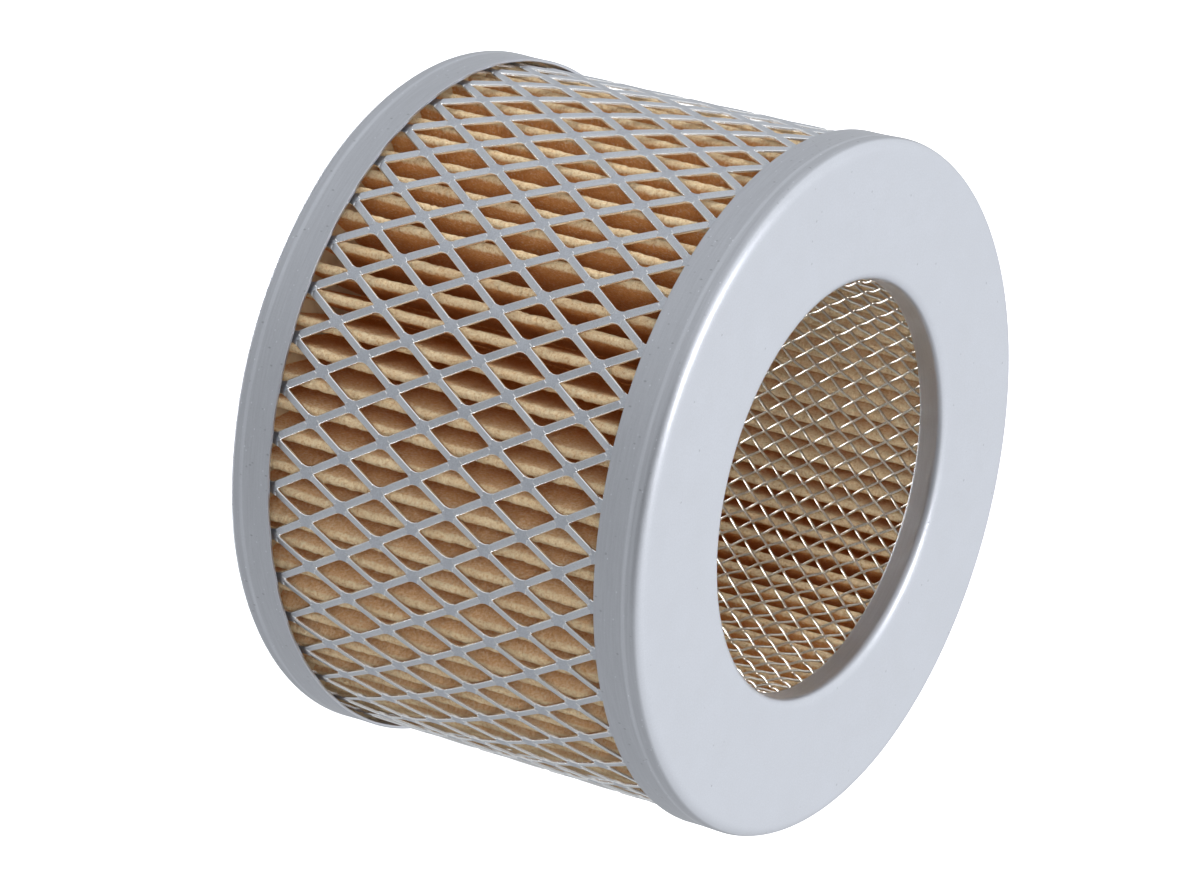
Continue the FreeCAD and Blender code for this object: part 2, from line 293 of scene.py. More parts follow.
def cap_section():
    """Closed half section of the front cap, from the rim's sheared edge round to itself."""
    edge = SHEARED_EDGE_RADIUS
    rim_inside = CAP_RADIUS - SHEET_THICKNESS
    neck_outside = BORE_RADIUS + SHEET_THICKNESS
    neck_end = FRONT_FACE - NECK_DEPTH
    rim_bend = (CAP_RADIUS - RIM_BEND_RADIUS, FRONT_FACE - RIM_BEND_RADIUS)
    neck_bend = (BORE_RADIUS + NECK_BEND_RADIUS, FRONT_FACE - NECK_BEND_RADIUS)
    section = arc_points((rim_inside + edge, RIM_END + edge), edge, -2, -1, SHEARED_EDGE_STEPS)
    section += arc_points((CAP_RADIUS - edge, RIM_END + edge), edge, -1, 0, SHEARED_EDGE_STEPS)
    section += line_points((CAP_RADIUS, RIM_END + edge), (CAP_RADIUS, rim_bend[1]), RIM_WALL_STEPS)
    section += arc_points(rim_bend, RIM_BEND_RADIUS, 0, 1, BEND_STEPS)
    section += line_points((rim_bend[0], FRONT_FACE), (neck_bend[0], FRONT_FACE), FACE_STEPS)
    section += arc_points(neck_bend, NECK_BEND_RADIUS, 1, 2, BEND_STEPS)
    section += line_points((BORE_RADIUS, neck_bend[1]), (BORE_RADIUS, neck_end + edge), NECK_WALL_STEPS)
    section += arc_points((BORE_RADIUS + edge, neck_end + edge), edge, 2, 3, SHEARED_EDGE_STEPS)
    section += arc_points((neck_outside - edge, neck_end + edge), edge, 3, 4, SHEARED_EDGE_STEPS)
    section += arc_points(neck_bend, NECK_BEND_RADIUS - SHEET_THICKNESS, 2, 1, INSIDE_BEND_STEPS)
    section += arc_points(rim_bend, RIM_BEND_RADIUS - SHEET_THICKNESS, 1, 0, INSIDE_BEND_STEPS)
    return np.array(section)


def end_cap_points(seed):
    """Points of the front cap: its section turned round, with the marks that pressing leaves.

    The rim has a groove just below its bend, a slight waist and a ripple that grows towards its end. The
    face sinks in a little.
    """
    random = np.random.default_rng(seed)
    section = cap_section()
    angle = np.arange(CAP_SEGMENTS) / CAP_SEGMENTS * FULL_TURN
    radius, level = section[:, :1], section[:, 1:]
    below_bend = FRONT_FACE - RIM_BEND_RADIUS - level
    wall_length = FRONT_FACE - RIM_BEND_RADIUS - RIM_END
    on_rim = (radius > CAP_RADIUS - MARKED_RIM_THICKNESS) & (below_bend > -MARKED_RIM_ABOVE_BEND)
    down_wall = np.clip(below_bend / wall_length, 0, 1)
    groove = GROOVE_DEPTH * np.exp(-((below_bend - GROOVE_BELOW_BEND) / GROOVE_SPREAD) ** 2)
    groove = groove * (radius > CAP_RADIUS - GROOVED_SKIN)
    waist = RIM_WAIST * np.sin(down_wall * math.pi)
    ripple = RIM_RIPPLE * (2 + closed_wave(random, CAP_SEGMENTS, 9)) * down_wall
    inward = on_rim * (groove + waist + ripple)
    face_share = (radius - BORE_RADIUS) / (CAP_RADIUS - BORE_RADIUS)
    from_ends = np.minimum(face_share - FACE_DISH_START, FACE_DISH_END - face_share)
    on_face = np.clip(from_ends / FACE_DISH_BLEND, 0, 1)
    dish = FACE_DISH * on_face * (2 + closed_wave(random, CAP_SEGMENTS, 5))
    return cylinder_points(radius - inward, angle, level - dish)


def add_end_caps(material):
    """The two pressings: the same section, with different small waves."""
    faces = grid_faces(len(cap_section()), CAP_SEGMENTS, close_rows=True, close_columns=True)
    new_piece("front_end_cap_sheet", end_cap_points(seed=5), faces, material, "front_end_cap")
    rear_points = mirrored_to_rear(end_cap_points(seed=11))
    new_piece("rear_end_cap_sheet", rear_points, faces, material, "rear_end_cap")


# ---------------------------------------------------------------- expanded-metal jacket


def diamond_quarter():
    """A quarter of one diamond, from its tip along the axis to its side, as points (across, along).

    Gives the middle line of the strand, the edge of the opening, and how much of the strand's twist each
    point has.
    """
    half_width = math.pi * JACKET_RADIUS / DIAMONDS_AROUND
    slope = math.atan2(half_width, DIAMOND_ROW_PITCH)
    open_width = half_width - STRAND_WIDTH / 2 / math.cos(slope)
    open_length = DIAMOND_ROW_PITCH - STRAND_WIDTH / 2 / math.sin(slope)
    corner = math.atan2(open_length, open_width)
    tangent = DIAMOND_SIDE_ROUNDING / math.tan(corner)
    arc_centre = open_width - DIAMOND_SIDE_ROUNDING / math.sin(corner)
    bend = np.array([open_width - tangent * math.cos(corner), tangent * math.sin(corner)])

    before, after = STRAND_CREASE
    half = np.array([0, before / 2, before, after, STRAND_MIDDLE_POINT])
    share = np.concatenate([half, [0.5], 1 - half[::-1]])[:, None]
    middle = (1 - share) * (0, DIAMOND_ROW_PITCH) + share * (half_width, 0)
    straight_share = np.interp(share, (0, after, 1 - after), (0, OPENING_START_SHARE, 1))
    straight = (1 - straight_share) * (0, open_length) + straight_share * bend
    turn = math.atan2(bend[1], bend[0] - arc_centre) * np.clip((1 - share) / after, 0, 1)
    rounded = np.concatenate([np.cos(turn), np.sin(turn)], axis=1) * DIAMOND_SIDE_ROUNDING
    edge = np.where(share > 1 - after, rounded + (arc_centre, 0), straight)
    from_end = np.minimum(share, 1 - share)
    twist = np.clip((from_end - before) / (after - before), 0, 1)
    return middle, edge, twist


def diamond_rings():
    """Rings round one diamond, from the middle of its strands to the opening and back behind them.

    Gives (across, along) and the depth below the jacket's outside of every point.
    """
    middles, edges, twists = [], [], []
    for number, (across, along) in enumerate([(1, 1), (1, -1), (-1, -1), (-1, 1)]):
        order = slice(None, -1) if number % 2 == 0 else slice(None, 0, -1)
        middle, edge, twist = diamond_quarter()
        middles.append(middle[order] * (across, along))
        edges.append(edge[order] * (across, along))
        twists.append(twist[order, 0] * across)
    middle, edge, twist = np.concatenate(middles), np.concatenate(edges), np.concatenate(twists)
    outward = middle - edge
    outward /= np.linalg.norm(outward, axis=1, keepdims=True)
    level = np.full_like(twist, STRAND_TILT)
    lift = STRAND_TILT * (1 - twist)
    back = JACKET_THICKNESS - STRAND_TILT
    rings = [(middle, level)]
    for turn in np.linspace(0, math.pi / 2, 4):
        inward = outward * STRAND_EDGE_RADIUS * (1 - math.sin(turn))
        rings.append((edge + inward, lift + STRAND_EDGE_RADIUS * (1 - math.cos(turn))))
    rings += [(edge, lift + back), (middle, level + back)]
    return np.stack([flat for flat, _ in rings]), np.stack([depth for _, depth in rings])


def knuckle_angle(row):
    """Angle of a row's first knuckle: rows alternate by half a diamond, and the sheet is skewed."""
    stagger = (row % 2) * math.pi / DIAMONDS_AROUND
    return FIRST_KNUCKLE_ANGLE + stagger + SHEET_SKEW * row * DIAMOND_ROW_PITCH


def add_jacket(material):
    """One mesh of all diamonds, cut off flat at both ends of the jacket."""
    flat, depth = diamond_rings()
    across, along = flat[..., 0], flat[..., 1]
    cell_faces = grid_faces(*depth.shape, close_columns=True)
    pitch = FULL_TURN / DIAMONDS_AROUND
    points, faces = [], []
    for row in JACKET_ROWS:
        height = FIRST_KNUCKLE_HEIGHT + row * DIAMOND_ROW_PITCH + along
        if height.min() > JACKET_TOP or height.max() < JACKET_BOTTOM:
            continue
        skew = SHEET_SKEW * along
        for column in range(DIAMONDS_AROUND):
            angle = knuckle_angle(row) + (column + 0.5) * pitch + across / JACKET_RADIUS + skew
            faces.append(cell_faces + len(points) * depth.size)
            inside = np.clip(height, JACKET_BOTTOM, JACKET_TOP)
            points.append(cylinder_points(JACKET_RADIUS - depth, angle, inside))
    points, faces = np.concatenate(points), np.concatenate(faces)
    new_piece("jacket_expanded_metal", points, faces, material, "outer_mesh_jacket", JACKET_SHARP_ANGLE)


# ---------------------------------------------------------------- welds


def weld_nugget(radius, height, base_radius, side, angle, level, seed):
    """Points of one spot weld on a tube: a low swollen disc with a dimple. Side 1 is outside, -1 inside."""
    random = np.random.default_rng(seed)
    turn = np.arange(WELD_SEGMENTS) / WELD_SEGMENTS * FULL_TURN
    reach = radius * np.array(WELD_REACH)[:, None] * (0.94 + 0.03 * closed_wave(random, WELD_SEGMENTS, 5))
    rise = height * np.array(WELD_RISE)[:, None]
    around = angle + reach * np.cos(turn) / base_radius
    return cylinder_points(base_radius + side * rise, around, level + reach * np.sin(turn))


def add_welds(name, node, material, nuggets):
    """One piece made of several nuggets."""
    faces = grid_faces(len(WELD_REACH), WELD_SEGMENTS, close_columns=True)
    every = np.concatenate([faces + number * len(nuggets[0]) for number in range(len(nuggets))])
    new_piece(name, np.concatenate(nuggets), every, material, node)


def add_jacket_welds(material):
    """Welds outside, on knuckles of the jacket's far side."""
    size = (JACKET_WELD_RADIUS, JACKET_WELD_HEIGHT)
    nuggets = []
    for row in JACKET_WELD_ROWS:
        angle = knuckle_angle(row) + DIAMONDS_AROUND // 2 * FULL_TURN / DIAMONDS_AROUND
        level = FIRST_KNUCKLE_HEIGHT + row * DIAMOND_ROW_PITCH
        nuggets.append(weld_nugget(*size, JACKET_RADIUS - WELD_SINK, 1, angle, level, seed=row))
    add_welds("jacket_seam_spot_welds", "jacket_seam_welds", material, nuggets)


def add_cloth_welds(material):
    """Welds inside, along the wire cloth's seam."""
    size = (CLOTH_WELD_RADIUS, CLOTH_WELD_HEIGHT)
    base_radius = CLOTH_MIDDLE_RADIUS - WEAVE_DEPTH - WIRE_DIAMETER / 2 + WELD_SINK
    lowest = NECK_DEPTH + 4 * CLOTH_WELD_RADIUS
    nuggets = []
    for level in np.linspace(lowest, FRONT_FACE - lowest, CLOTH_WELD_COUNT):
        nuggets.append(weld_nugget(*size, base_radius, -1, CLOTH_SEAM_ANGLE, level, seed=int(level)))
    add_welds("inner_mesh_seam_spot_welds", "inner_mesh_seam_welds", material, nuggets)


# ---------------------------------------------------------------- pleated paper


def wandering(random, size):
    """A wave of every fold along its length, made of slow and quick waves."""
    level = np.linspace(0, 1, PAPER_LEVELS)[:, None]
    total = np.zeros((PAPER_LEVELS, PLEAT_COUNT))
    for waves, share in FOLD_WAVES:
        phase = random.uniform(0, FULL_TURN, PLEAT_COUNT)
        height = random.normal(0, 1, PLEAT_COUNT)
        total += share * height * np.sin(waves * FULL_TURN * level + phase)
    return total * size


def drifting(random, spread):
    """A sideways place for every fold, at most twice the spread off."""
    return np.clip(random.normal(0, spread, PLEAT_COUNT), -2 * spread, 2 * spread)


def uneven_depth(random, spread, wander):
    """How deep every fold lies at every level, never less than nothing."""
    return np.abs(random.normal(0, spread, PLEAT_COUNT)) + np.abs(wandering(random, wander))


def fold_centres():
    """Centres of every outer and inner fold at every level, as complex numbers in the section's plane.

    Folds lie unevenly, but where the clip holds the paper's joint they lie true.
    """
    random = np.random.default_rng(21)
    pitch = FULL_TURN / PLEAT_COUNT
    number = np.arange(PLEAT_COUNT)
    held = FOLDS_HELD_BY_CLIP
    away_from_joint = np.minimum(np.minimum(number, PLEAT_COUNT - number), held) / held
    root_away = np.minimum(np.minimum(number, PLEAT_COUNT - 1 - number), held) / held
    drift = drifting(random, TIP_DRIFT)
    creases = random.normal(0, CREASE_SIZE, (PAPER_LEVELS, PLEAT_COUNT))
    tip_angle = number + away_from_joint * (drift + wandering(random, TIP_WANDER) + creases / 4)
    root_drift = drifting(random, ROOT_DRIFT)
    root_angle = number + 0.5 + root_away * (root_drift + wandering(random, ROOT_WANDER))
    sink = uneven_depth(random, *TIP_SINK[:2])
    sink += np.abs(random.normal(0, CREASE_SIZE, (PAPER_LEVELS, PLEAT_COUNT)))
    tip_radius = PLEAT_TIP_RADIUS - OUTER_FOLD_RADIUS - away_from_joint * np.minimum(sink, TIP_SINK[2])
    rise = uneven_depth(random, *ROOT_RISE[:2])
    root_radius = PLEAT_ROOT_RADIUS + INNER_FOLD_RADIUS + root_away * np.minimum(rise, ROOT_RISE[2])
    tips = tip_radius * np.exp(1j * (PAPER_JOINT_ANGLE + pitch * tip_angle))
    roots = root_radius * np.exp(1j * (PAPER_JOINT_ANGLE + PLEAT_LEAN + pitch * root_angle))
    return tips, roots


def flank_bows():
    """Sideways bow of every flank at every level, for the flanks before and after each root."""
    random = np.random.default_rng(8)
    number = np.arange(PLEAT_COUNT)
    held = FLANKS_HELD_BY_CLIP
    free_before = np.minimum(number, held) / held
    free_after = np.minimum(PLEAT_COUNT - 1 - number, held) / held
    return wandering(random, FLANK_BOW) * free_before, wandering(random, FLANK_BOW) * free_after


def flank_normal(start, end, fold_radii, side):
    """Unit normal of the flank from a fold at `start`, on its side 1 or -1, to a fold at `end`."""
    way = end - start
    return way / np.abs(way) * np.exp(1j * side * np.arccos(fold_radii / np.abs(way)))


def fold_points(centres, radius, start, end, direction, steps):
    """Points round folds from one normal to another, turning in a direction of 1 or -1."""
    turn = np.mod(direction * np.angle(end / start), FULL_TURN)
    return [centres + radius * start * np.exp(1j * direction * turn * s) for s in np.linspace(0, 1, steps)]


def flank_points(start, end, bow):
    """Points on bowed flanks, without their ends."""
    sideways = 1j * (end - start) / np.abs(end - start)
    shares = (0.2, 0.5, 0.8)
    return [start + (end - start) * s + sideways * bow * math.sin(math.pi * s) for s in shares]


def paper_face_points(tip_fold, root_fold):
    """Points of one face of the paper: one row per level, and round the loop within a row."""
    tips, roots = fold_centres()
    bow_in, bow_out = flank_bows()
    next_tips = np.roll(tips, -1, axis=1)
    going_in = flank_normal(tips, roots, tip_fold + root_fold, -1)
    going_out = flank_normal(next_tips, roots, tip_fold + root_fold, 1)
    from_previous = np.roll(going_out, 1, axis=1)
    columns = fold_points(tips, tip_fold, from_previous, going_in, 1, OUTER_FOLD_STEPS)
    columns += flank_points(tips + tip_fold * going_in, roots - root_fold * going_in, bow_in)
    columns += fold_points(roots, root_fold, -going_in, -going_out, -1, INNER_FOLD_STEPS)
    columns += flank_points(roots - root_fold * going_out, next_tips + tip_fold * going_out, bow_out)
    loop = np.stack(columns, axis=-1).reshape(PAPER_LEVELS, -1)
    level = np.linspace(PAPER_BOTTOM, PAPER_TOP, PAPER_LEVELS)[:, None]
    return cylinder_points(np.abs(loop), np.angle(loop), level)


def add_paper(material):
    """The strip's two faces, joined along its bottom and top edges."""
    outside = paper_face_points(OUTER_FOLD_RADIUS, INNER_FOLD_RADIUS - PAPER_THICKNESS)
    inside = paper_face_points(OUTER_FOLD_RADIUS - PAPER_THICKNESS, INNER_FOLD_RADIUS)
    columns = len(outside) // PAPER_LEVELS
    side = grid_faces(PAPER_LEVELS, columns, close_columns=True)
    count = len(outside)
    here = np.arange(columns)
    after = (here + 1) % columns
    bottom = np.stack([here, after, after + count, here + count], axis=1)
    faces = np.concatenate([side, side + count, bottom, bottom + count - columns])
    new_piece("pleated_paper", np.concatenate([outside, inside]), faces, material, "pleated_media")


# ---------------------------------------------------------------- woven wire tube


def wire_points(hand, first):
    """Points of every second wire that winds one way, woven over and under the others.

    They are rings round each wire. Hand is 1 or -1, and first is the number of the first wire.
    """
    random = np.random.default_rng(40 + hand + 10 * first)
    pitch = FULL_TURN / WIRES_PER_HAND
    crossing = np.linspace(0, CROSSINGS_PER_WIRE, CROSSINGS_PER_WIRE * STEPS_PER_CROSSING + 1)
    crossing_height = pitch / (2 * WIRE_TURN_PER_MM)
    climb = crossing * crossing_height
    weave = math.pi * crossing
    radius = CLOTH_MIDDLE_RADIUS + hand * WEAVE_DEPTH * np.cos(weave)
    slope_in_out = -hand * WEAVE_DEPTH * math.pi / crossing_height * np.sin(weave)
    along = np.stack([slope_in_out, radius * hand * WIRE_TURN_PER_MM, np.ones_like(radius)], axis=-1)
    along /= np.linalg.norm(along, axis=-1, keepdims=True)
    upright = np.array([1.0, 0.0, 0.0]) - along * along[:, :1]
    upright /= np.linalg.norm(upright, axis=-1, keepdims=True)
    sideways = np.cross(along, upright)
    turn = (np.arange(WIRE_SIDES) / WIRE_SIDES * FULL_TURN)[:, None]
    ring = np.cos(turn) * upright[:, None] + np.sin(turn) * sideways[:, None]
    ring = ring * (WIRE_DIAMETER / 2)
    number = np.arange(first, WIRES_PER_HAND, 2)[:, None, None]
    wander = random.normal(0, WIRE_WANDER, number.shape) * pitch
    angle = WIRE_PHASE + number * pitch + hand * WIRE_TURN_PER_MM * climb[:, None] + wander
    outward = radius[:, None] + ring[..., 0]
    around = angle + np.arctan2(ring[..., 1], outward)
    height = CLOTH_BOTTOM + climb[:, None] + ring[..., 2]
    return cylinder_points(np.hypot(outward, ring[..., 1]), around, height)


def add_wires(material):
    """Four pieces: every second wire of each of the two ways that the wires wind."""
    rings = CROSSINGS_PER_WIRE * STEPS_PER_CROSSING + 1
    faces = grid_faces(rings, WIRE_SIDES, close_columns=True)
    every = np.concatenate([faces + number * rings * WIRE_SIDES for number in range(WIRES_PER_HAND // 2)])
    for way, hand in (("right", 1), ("left", -1)):
        for choice, first in (("even", 0), ("odd", 1)):
            name = f"inner_mesh_{way}_hand_{choice}"
            node = f"inner_mesh_{way}_hand_wires_{choice}"
            new_piece(name, wire_points(hand, first), every, material, node)


# ---------------------------------------------------------------- adhesive


def potting_points(seed):
    """Points of the adhesive in the front cap, and its numbers of rows and columns.

    It is a ring that fills the cap's rim and has a slightly uneven surface.
    """
    random = np.random.default_rng(seed)
    inner = CLOTH_RADIUS + CLOTH_TO_POTTING
    corner = RIM_BEND_RADIUS - SHEET_THICKNESS
    surface = np.linspace(inner, POTTING_RADIUS, POTTING_SURFACE_STEPS)
    top_edge = (POTTING_RADIUS - corner, POTTING_TOP - corner)
    section = [(radius, POTTING_SURFACE) for radius in surface]
    section += arc_points(top_edge, corner, 0, 1, POTTING_CORNER_STEPS)
    section += [(inner + POTTING_CHAMFER, POTTING_TOP), (inner, POTTING_TOP - POTTING_CHAMFER)]
    section = np.array(section)
    count = POTTING_SEGMENTS
    angle = np.arange(count) / count * FULL_TURN
    swell = np.zeros((len(section), count))
    for row in range(1, len(surface) - 1):
        swell[row] = POTTING_SWELL * (2 + closed_wave(random, count, 24))
    return cylinder_points(section[:, :1], angle, section[:, 1:] + swell), len(section), count


def add_potting(material):
    """The two adhesive rings, each with its own uneven surface."""
    front, rows, columns = potting_points(seed=31)
    faces = grid_faces(rows, columns, close_rows=True, close_columns=True)
    new_piece("front_adhesive", front, faces, material, "front_potting", POTTING_SHARP_ANGLE)
    rear = mirrored_to_rear(potting_points(seed=32)[0])
    new_piece("rear_adhesive", rear, faces, material, "rear_potting", POTTING_SHARP_ANGLE)


# ---------------------------------------------------------------- materials


class Finish:
    """A material made of nodes, with short ways to add them. Lengths are in millimetres."""

    def __init__(self, name, metallic, roughness):
        self.material = bpy.data.materials.new(name)
        self.material.use_nodes = True
        self.tree = self.material.node_tree
        self.shader = self.tree.nodes["Principled BSDF"]
        self.shader.inputs["Metallic"].default_value = metallic
        self.shader.inputs["Roughness"].default_value = roughness
        coordinates = self.tree.nodes.new("ShaderNodeTexCoord")
        self.place = self.vector("SCALE", coordinates.outputs["Object"], scale=1 / MM)
        split = self.tree.nodes.new("ShaderNodeSeparateXYZ")
        self.tree.links.new(self.place, split.inputs[0])
        self.height = split.outputs["Z"]
        self.axis_distance = self.vector("LENGTH", self.vector("MULTIPLY", self.place, (1, 1, 0)))

    def fill(self, socket, value):
        """Link or set one input."""
        if isinstance(value, bpy.types.NodeSocket):
            self.tree.links.new(value, socket)
        elif value is not None:
            socket.default_value = value

    def vector(self, operation, first, second=None, scale=None):
        """One step of arithmetic on vectors."""
        node = self.tree.nodes.new("ShaderNodeVectorMath")
        node.operation = operation
        self.fill(node.inputs[0], first)
        self.fill(node.inputs[1], second)
        if scale is not None:
            self.fill(node.inputs["Scale"], scale)
        return node.outputs["Value" if operation in ("LENGTH", "DOT_PRODUCT") else "Vector"]

    def math(self, operation, first, second=None, third=None):
        """One step of arithmetic on values."""
        node = self.tree.nodes.new("ShaderNodeMath")
        node.operation = operation
        self.fill(node.inputs[0], first)
        self.fill(node.inputs[1], second)
        self.fill(node.inputs[2], third)
        return node.outputs[0]

    def times(self, first, second):
        return self.math("MULTIPLY", first, second)

    def stretched(self, x, y, z):
        """Place with each axis scaled."""
        return self.vector("MULTIPLY", self.place, (x, y, z))

    def direction(self, scale):
        """Direction away from the axis: it changes round the cartridge only."""
        flat = self.vector("MULTIPLY", self.place, (1, 1, 0))
        return self.vector("SCALE", self.vector("NORMALIZE", flat), scale=scale)

    def normal(self):
        """Direction that the surface faces, without its bumps."""
        return self.tree.nodes.new("ShaderNodeNewGeometry").outputs["Normal"]

    def noise(self, place, scale=1.0, detail=2.0, roughness=0.5, distortion=0.0):
        """A cloudy value about 0.5: with scale 1, its largest shapes are about a millimetre across."""
        node = self.tree.nodes.new("ShaderNodeTexNoise")
        self.fill(node.inputs["Vector"], place)
        node.inputs["Scale"].default_value = scale
        node.inputs["Detail"].default_value = detail
        node.inputs["Roughness"].default_value = roughness
        node.inputs["Distortion"].default_value = distortion
        return node.outputs["Fac"]

    def specks(self, place, scale, size):
        """1 in small spots that lie far apart, and 0 elsewhere."""
        node = self.tree.nodes.new("ShaderNodeTexVoronoi")
        self.fill(node.inputs["Vector"], place)
        node.inputs["Scale"].default_value = scale
        return self.between(node.outputs["Distance"], size, size * SPECK_CORE)

    def between(self, value, start, end, low=0.0, high=1.0):
        """Value mapped from start..end to low..high, and held there beyond."""
        node = self.tree.nodes.new("ShaderNodeMapRange")
        self.fill(node.inputs["Value"], value)
        self.fill(node.inputs["From Min"], start)
        self.fill(node.inputs["From Max"], end)
        self.fill(node.inputs["To Min"], low)
        self.fill(node.inputs["To Max"], high)
        return node.outputs["Result"]

    def blend(self, share, first, second, kind="MIX"):
        """Two colours mixed, or multiplied."""
        node = self.tree.nodes.new("ShaderNodeMix")
        node.data_type = "RGBA"
        node.blend_type = kind
        self.fill(node.inputs["Factor"], share)
        self.fill(node.inputs[6], first)
        self.fill(node.inputs[7], second)
        return node.outputs[2]

    def colour(self, value):
        self.fill(self.shader.inputs["Base Color"], value)

    def roughness(self, value):
        self.fill(self.shader.inputs["Roughness"], value)

    def bump(self, value, height):
        """Add relief to the surface: a value times a height in millimetres."""
        node = self.tree.nodes.new("ShaderNodeBump")
        node.inputs["Strength"].default_value = 1.0
        node.inputs["Distance"].default_value = height * MM
        self.fill(node.inputs["Height"], value)
        before = self.shader.inputs["Normal"].links
        if before:
            self.fill(node.inputs["Normal"], before[0].from_socket)
        self.fill(self.shader.inputs["Normal"], node.outputs["Normal"])


def rgb(red, green, blue):
    """A colour for a node from sRGB values out of 255."""
    values = [value / 255 for value in (red, green, blue)]
    linear = [v / 12.92 if v <= 0.04045 else ((v + 0.055) / 1.055) ** 2.4 for v in values]
    return (*linear, 1.0)


def cap_finish():
    """Pressed tin-coated sheet: a satin face, and a rim and neck with drawing streaks that are darker,
    partly by their duller drawn finish and partly by painted shade for the darker surroundings they reflect.

    It has small pits, scuffs on the rim, and a painted reflection: a lighter band just below the rim's bend.
    """
    finish = Finish("pressed_sheet", metallic=1.0, roughness=0.4)
    on_wall = finish.between(finish.axis_distance, CAP_RADIUS - 0.35, CAP_RADIUS - 0.12)
    in_bore = finish.between(finish.axis_distance, BORE_RADIUS + 0.4, BORE_RADIUS + 0.15)
    drawn = finish.math("MAXIMUM", on_wall, in_bore)
    streaks = finish.noise(finish.stretched(0.16, 0.16, 3.6), detail=5, roughness=0.7)
    round_marks = finish.noise(finish.direction(60), detail=3, roughness=0.6)
    cloud = finish.noise(finish.place, scale=0.22, detail=4, roughness=0.6)
    grain = finish.noise(finish.place, scale=4.0, detail=4, roughness=0.75)
    pits = finish.specks(finish.place, 0.3, 0.07)

    tone = finish.between(cloud, 0.3, 0.7, 0.97, 1.0)
    tone = finish.times(tone, finish.between(grain, 0.3, 0.7, 0.93, 1.02))
    streak_tone = finish.between(streaks, 0.35, 0.65, 0.94, 1.03)
    streak_share = finish.math("MULTIPLY_ADD", finish.math("SUBTRACT", streak_tone, 1.0), drawn, 1.0)
    tone = finish.times(tone, streak_share)
    # Partly painted shade: the drawn rim and neck are darkened, for their duller finish and for the darker
    # surroundings that they reflect.
    tone = finish.times(tone, finish.between(drawn, 0, 1, 1.0, DRAWN_AND_SHADED_TONE))
    tone = finish.times(tone, finish.between(pits, 0, 1, 1.0, 0.8))
    dark_scuff = finish.times(finish.specks(finish.stretched(1.0, 1.0, 0.6), 0.75, 0.13), on_wall)
    bright_scuff = finish.times(finish.specks(finish.stretched(0.7, 0.7, 1.0), 0.9, 0.12), on_wall)
    tone = finish.times(tone, finish.between(dark_scuff, 0, 1, 1.0, 0.72))
    tone = finish.times(tone, finish.between(bright_scuff, 0, 1, 1.0, 1.3))
    # A painted reflection: the rim is lighter in a band just below its bend.
    from_middle = finish.math("ABSOLUTE", finish.math("SUBTRACT", finish.height, FRONT_FACE / 2))
    below_bend = finish.math("SUBTRACT", FRONT_FACE / 2 - RIM_BEND_RADIUS, from_middle)
    from_band = finish.math("ABSOLUTE", finish.math("SUBTRACT", below_bend, REFLECTION_BAND_BELOW_BEND))
    reflection_band = finish.times(finish.between(from_band, 0.45, 0.15), on_wall)
    tone = finish.times(tone, finish.between(reflection_band, 0, 1, 1.0, PAINTED_REFLECTION_TONE))
    finish.colour(finish.blend(1.0, rgb(228, 231, 238), tone, "MULTIPLY"))
    rough = finish.between(cloud, 0.3, 0.7, 0.36, 0.46)
    finish.roughness(finish.math("ADD", rough, finish.between(grain, 0.3, 0.7, -0.03, 0.05)))
    finish.bump(grain, 0.012)
    finish.bump(finish.times(streaks, drawn), 0.008)
    finish.bump(round_marks, 0.02)
    finish.bump(pits, -0.03)
    return finish.material


def jacket_finish():
    """Zinc-coated mild steel: satin strands with fine lines and duller patches, and white, smoother edges:
    partly the shine of sheared edges, partly a painted highlight.
    """
    finish = Finish("expanded_metal", metallic=1.0, roughness=0.5)
    cloud = finish.noise(finish.place, scale=0.35, detail=4, roughness=0.6)
    grain = finish.noise(finish.place, scale=5.0, detail=4, roughness=0.7)
    lines = finish.noise(finish.stretched(1.2, 1.2, 9.0), detail=3, roughness=0.6)
    outward = finish.vector("DOT_PRODUCT", finish.normal(), finish.direction(1.0))
    # Partly a painted highlight: the strands' edges get a white colour and lower roughness, besides the
    # shine of sheared edges.
    edge = finish.between(outward, 0.975, 0.93)
    tone = finish.between(cloud, 0.3, 0.7, 0.92, 1.0)
    tone = finish.times(tone, finish.between(grain, 0.35, 0.65, 0.84, 1.08))
    face = finish.blend(1.0, rgb(198, 202, 209), tone, "MULTIPLY")
    finish.colour(finish.blend(edge, face, rgb(255, 255, 255)))
    rough = finish.between(grain, 0.3, 0.7, 0.32, 0.46)
    finish.roughness(finish.times(rough, finish.between(edge, 0, 1, 1.0, 0.5)))
    finish.bump(lines, 0.01)
    finish.bump(grain, 0.03)
    return finish.material


def wire_finish():
    """Bright drawn wire with faint darker drawing lines."""
    finish = Finish("drawn_wire", metallic=1.0, roughness=0.28)
    patches = finish.noise(finish.place, scale=1.3, detail=3, roughness=0.6)
    grain = finish.noise(finish.place, scale=14.0, detail=2, roughness=0.6)
    tone = finish.between(patches, 0.3, 0.7, 0.82, 1.0)
    finish.colour(finish.blend(1.0, rgb(236, 232, 225), tone, "MULTIPLY"))
    finish.roughness(finish.between(grain, 0.3, 0.7, 0.22, 0.36))
    finish.bump(grain, 0.006)
    return finish.material


def weld_finish():
    """Spot weld: grey in the middle, with a brownish heat mark round it."""
    finish = Finish("spot_weld", metallic=1.0, roughness=0.5)
    patches = finish.noise(finish.place, scale=2.5, detail=4, roughness=0.65)
    finish.colour(finish.blend(finish.between(patches, 0.4, 0.65), rgb(150, 147, 142), rgb(112, 98, 84)))
    finish.roughness(finish.between(patches, 0.3, 0.7, 0.4, 0.65))
    finish.bump(finish.noise(finish.place, scale=7.0, detail=3), 0.03)
    return finish.material


